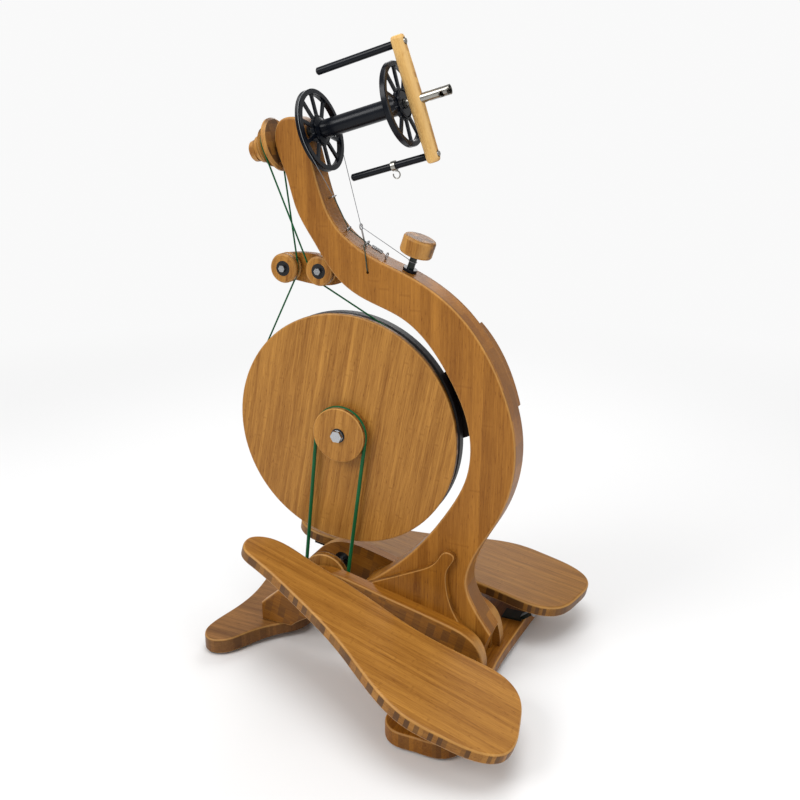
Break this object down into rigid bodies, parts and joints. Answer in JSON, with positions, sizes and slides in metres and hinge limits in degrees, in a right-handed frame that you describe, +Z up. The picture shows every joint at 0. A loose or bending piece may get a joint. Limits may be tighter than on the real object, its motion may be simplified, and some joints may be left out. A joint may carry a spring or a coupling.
{
  "type": "spinning wheel",
  "caption": "Compact upright bamboo spinning wheel with a C-shaped frame, double treadle, belt-driven flyer, bobbin and scotch brake",
  "frame": {"origin": "on the floor, under the middle of the overall box", "axes": "+Z up, +X toward the spinner and the orifice, +Y across the wheel, from the near treadle to the far treadle"},
  "size_m": [0.5404, 0.5256, 0.9056],
  "materials": {
    "bamboo_frame": "satin lacquered caramel bamboo, grain upright",
    "bamboo_wheel": "satin lacquered caramel bamboo",
    "bamboo_treadle": "satin lacquered caramel bamboo, grain along the length",
    "pale_wood": "satin lacquered golden wood",
    "dark_core": "charcoal painted fibreboard",
    "black_plastic": "satin black moulded",
    "foot_rubber": "matte",
    "bearing_steel": "shielded bearing",
    "zinc_steel": "zinc plated",
    "bright_steel": "polished",
    "black_steel": "black oxide",
    "green_belt": "smooth deep green",
    "clear_line": "clear monofilament",
    "dark_cord": "braided, dark green"
  },
  "bodies": {
    "frame": {"c_frame": "bamboo_frame", "near_cheek": "bamboo_frame", "far_cheek": "bamboo_frame", "near_rail": "bamboo_frame", "far_rail": "bamboo_frame", "back_foot": "bamboo_frame", "front_foot": "bamboo_frame", "foot_pads": "foot_rubber", "wheel_arm": "bamboo_frame", "wheel_axle": "zinc_steel", "axle_fasteners": "zinc_steel", "arm_bolts": "zinc_steel", "crank_bearings": "bearing_steel", "base_hinges": "zinc_steel", "hinge_pins": "zinc_steel", "idler_bracket": "bamboo_frame", "idler_bolts": "zinc_steel", "head_bearings": "bearing_steel", "knob_bush": "black_plastic", "line_eyes": "zinc_steel", "brake_line": "clear_line", "brake_spring": "black_steel", "brake_cords": "dark_cord", "drive_band": "green_belt", "treadle_belt": "green_belt", "rail_bolts": "zinc_steel"},
    "wheel": {"wheel_core": "dark_core", "wheel_face": "bamboo_wheel", "hub_pulley": "bamboo_wheel", "wheel_bearings": "bearing_steel"},
    "crank": {"crank_shaft": "zinc_steel", "crank_pulley": "bamboo_wheel", "near_crank": "black_steel", "far_crank": "black_steel"},
    "near_treadle": {"near_treadle": "bamboo_treadle", "near_treadle_hinges": "zinc_steel", "near_treadle_bracket": "black_plastic"},
    "far_treadle": {"far_treadle": "bamboo_treadle", "far_treadle_hinges": "zinc_steel", "far_treadle_bracket": "black_plastic"},
    "near_footman": {"near_footman": "black_plastic", "near_footman_pins": "zinc_steel"},
    "far_footman": {"far_footman": "black_plastic", "far_footman_pins": "zinc_steel"},
    "left_idler": {"left_idler": "bamboo_wheel", "left_idler_bearings": "bearing_steel"},
    "right_idler": {"right_idler": "bamboo_wheel", "right_idler_bearings": "bearing_steel"},
    "flyer": {"crossbar": "pale_wood", "flyer_shaft": "bright_steel", "whorl": "bamboo_wheel", "orifice_tube": "bright_steel", "flyer_arms": "black_plastic", "arm_screws": "bright_steel"},
    "bobbin": {"bobbin_core": "black_plastic", "bobbin_flanges": "black_plastic"},
    "hook": {"flyer_hook": "bright_steel"},
    "brake_knob": {"brake_knob": "bamboo_wheel", "knob_screw": "black_steel"}
  },
  "joints": [
    {"name": "wheel_turn", "type": "hinge", "parent": "frame", "child": "wheel", "pos_m": [-0.06627, 0, 0.359], "axis": [0, 1, 0], "continuous": true},
    {"name": "crank_turn", "type": "hinge", "parent": "frame", "child": "crank", "pos_m": [-0.09627, 0, 0.118], "axis": [0, 1, 0], "continuous": true},
    {"name": "left_idler_turn", "type": "hinge", "parent": "frame", "child": "left_idler", "pos_m": [-0.16127, 0, 0.595], "axis": [0, 1, 0], "continuous": true},
    {"name": "right_idler_turn", "type": "hinge", "parent": "frame", "child": "right_idler", "pos_m": [-0.10327, 0, 0.595], "axis": [0, 1, 0], "continuous": true},
    {"name": "flyer_turn", "type": "hinge", "parent": "frame", "child": "flyer", "pos_m": [0.04013, 0, 0.826], "axis": [0.9627, 0, 0.2706], "continuous": true},
    {"name": "bobbin_turn", "type": "hinge", "parent": "flyer", "child": "bobbin", "pos_m": [-0.03977, 0, 0.80354], "axis": [0.9627, 0, 0.2706], "continuous": true},
    {"name": "hook_slide", "type": "slide", "parent": "flyer", "child": "hook", "axis": [0.9627, 0, 0.2706], "range_m": [-0.058, 0.036]},
    {"name": "near_treadle_rock", "type": "hinge", "parent": "frame", "child": "near_treadle", "pos_m": [0.20473, -0.16, 0.048], "axis": [0, 1, 0], "range_deg": [-7.4, 0]},
    {"name": "far_treadle_rock", "type": "hinge", "parent": "frame", "child": "far_treadle", "pos_m": [0.20473, 0.16, 0.048], "axis": [0, 1, 0], "range_deg": [0, 7.4]},
    {"name": "near_footman_swing", "type": "hinge", "parent": "near_treadle", "child": "near_footman", "pos_m": [-0.09627, -0.0645, 0.082], "axis": [0, 1, 0], "range_deg": [0, 7.4]},
    {"name": "far_footman_swing", "type": "hinge", "parent": "far_treadle", "child": "far_footman", "pos_m": [-0.09627, 0.0645, 0.042], "axis": [0, 1, 0], "range_deg": [-7.4, 0]},
    {"name": "brake_knob_turn", "type": "hinge", "parent": "frame", "child": "brake_knob", "pos_m": [0.04263, 0, 0.63232], "axis": [0.33, 0, 0.944], "range_deg": [-180, 540]}
  ],
  "couplings": [
    {"joint": "crank_turn", "follows": "wheel_turn", "ratio": 1.1006},
    {"joint": "left_idler_turn", "follows": "wheel_turn", "ratio": -9.28},
    {"joint": "right_idler_turn", "follows": "wheel_turn", "ratio": -9.28},
    {"joint": "flyer_turn", "follows": "wheel_turn", "ratio": 7.25},
    {"joint": "far_treadle_rock", "follows": "near_treadle_rock", "ratio": -1},
    {"joint": "near_footman_swing", "follows": "near_treadle_rock", "ratio": -1},
    {"joint": "far_footman_swing", "follows": "near_treadle_rock", "ratio": 1}
  ]
}
